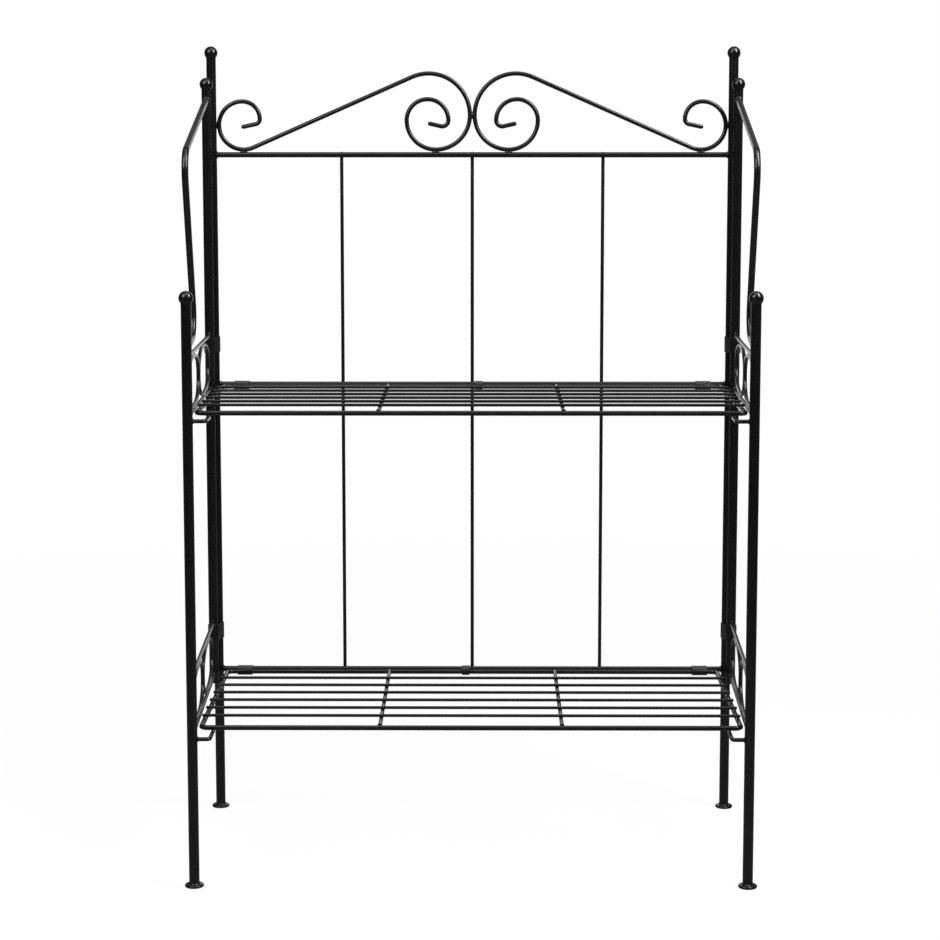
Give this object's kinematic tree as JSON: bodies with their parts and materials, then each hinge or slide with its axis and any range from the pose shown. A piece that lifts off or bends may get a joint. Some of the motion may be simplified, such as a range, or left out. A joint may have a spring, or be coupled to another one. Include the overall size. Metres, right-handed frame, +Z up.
{
  "type": "plant stand",
  "caption": "Folding tiered wire plant stand: scrolled back frame, hinged side frames with ring guards, and wire shelves that fold up.",
  "frame": {"origin": "on the floor, in the middle of the stand's box", "axes": "+X to the stand's right as seen from the front, +Y to its back, +Z up"},
  "size_m": [0.624, 0.3178, 0.8966],
  "materials": {
    "post_coat": "satin black powder coat",
    "rod_coat": "satin black powder coat",
    "strap_coat": "satin black powder coat"
  },
  "bodies": {
    "back_frame": {"back_post_left": "post_coat", "back_finial_left": "post_coat", "back_foot_left": "post_coat", "crest_scroll_left": "rod_coat", "back_post_right": "post_coat", "back_finial_right": "post_coat", "back_foot_right": "post_coat", "crest_scroll_right": "rod_coat", "top_rail": "rod_coat", "middle_rail": "rod_coat", "lower_rail": "rod_coat", "back_wire_left": "rod_coat", "back_wire_centre": "rod_coat", "back_wire_right": "rod_coat", "upper_hinge_band_left": "strap_coat", "upper_hinge_band_right": "strap_coat", "lower_hinge_band_left": "strap_coat", "lower_hinge_band_right": "strap_coat", "upper_shelf_clip_left": "strap_coat", "upper_shelf_clip_middle": "strap_coat", "upper_shelf_clip_right": "strap_coat", "lower_shelf_clip_left": "strap_coat", "lower_shelf_clip_middle": "strap_coat", "lower_shelf_clip_right": "strap_coat"},
    "left_side": {"left_rear_post": "post_coat", "left_rear_finial": "post_coat", "left_front_post": "post_coat", "left_front_finial": "post_coat", "left_front_foot": "post_coat", "left_arm": "rod_coat", "left_upper_guard_top_bar": "rod_coat", "left_upper_guard_lower_bar": "rod_coat", "left_upper_guard_rings": "rod_coat", "left_upper_hook": "rod_coat", "left_lower_guard_top_bar": "rod_coat", "left_lower_guard_lower_bar": "rod_coat", "left_lower_guard_rings": "rod_coat", "left_lower_hook": "rod_coat"},
    "right_side": {"right_rear_post": "post_coat", "right_rear_finial": "post_coat", "right_front_post": "post_coat", "right_front_finial": "post_coat", "right_front_foot": "post_coat", "right_arm": "rod_coat", "right_upper_guard_top_bar": "rod_coat", "right_upper_guard_lower_bar": "rod_coat", "right_upper_guard_rings": "rod_coat", "right_upper_hook": "rod_coat", "right_lower_guard_top_bar": "rod_coat", "right_lower_guard_lower_bar": "rod_coat", "right_lower_guard_rings": "rod_coat", "right_lower_hook": "rod_coat"},
    "upper_shelf": {"upper_shelf_frame": "rod_coat", "upper_shelf_front_rod": "rod_coat", "upper_shelf_grid": "rod_coat"},
    "lower_shelf": {"lower_shelf_frame": "rod_coat", "lower_shelf_front_rod": "rod_coat", "lower_shelf_grid": "rod_coat"}
  },
  "joints": [
    {"name": "upper_shelf_fold", "type": "hinge", "parent": "back_frame", "child": "upper_shelf", "pos_m": [0, 0.14209, 0.505], "axis": [-1, 0, 0], "range_deg": [0, 86]},
    {"name": "lower_shelf_fold", "type": "hinge", "parent": "back_frame", "child": "lower_shelf", "pos_m": [0, 0.14209, 0.166], "axis": [-1, 0, 0], "range_deg": [0, 86]},
    {"name": "left_side_swing", "type": "hinge", "parent": "back_frame", "child": "left_side", "pos_m": [-0.30445, 0.1361, 0.4], "axis": [0, 0, -1], "range_deg": [0, 20]},
    {"name": "right_side_swing", "type": "hinge", "parent": "back_frame", "child": "right_side", "pos_m": [0.30445, 0.1361, 0.4], "axis": [0, 0, 1], "range_deg": [0, 20]}
  ]
}
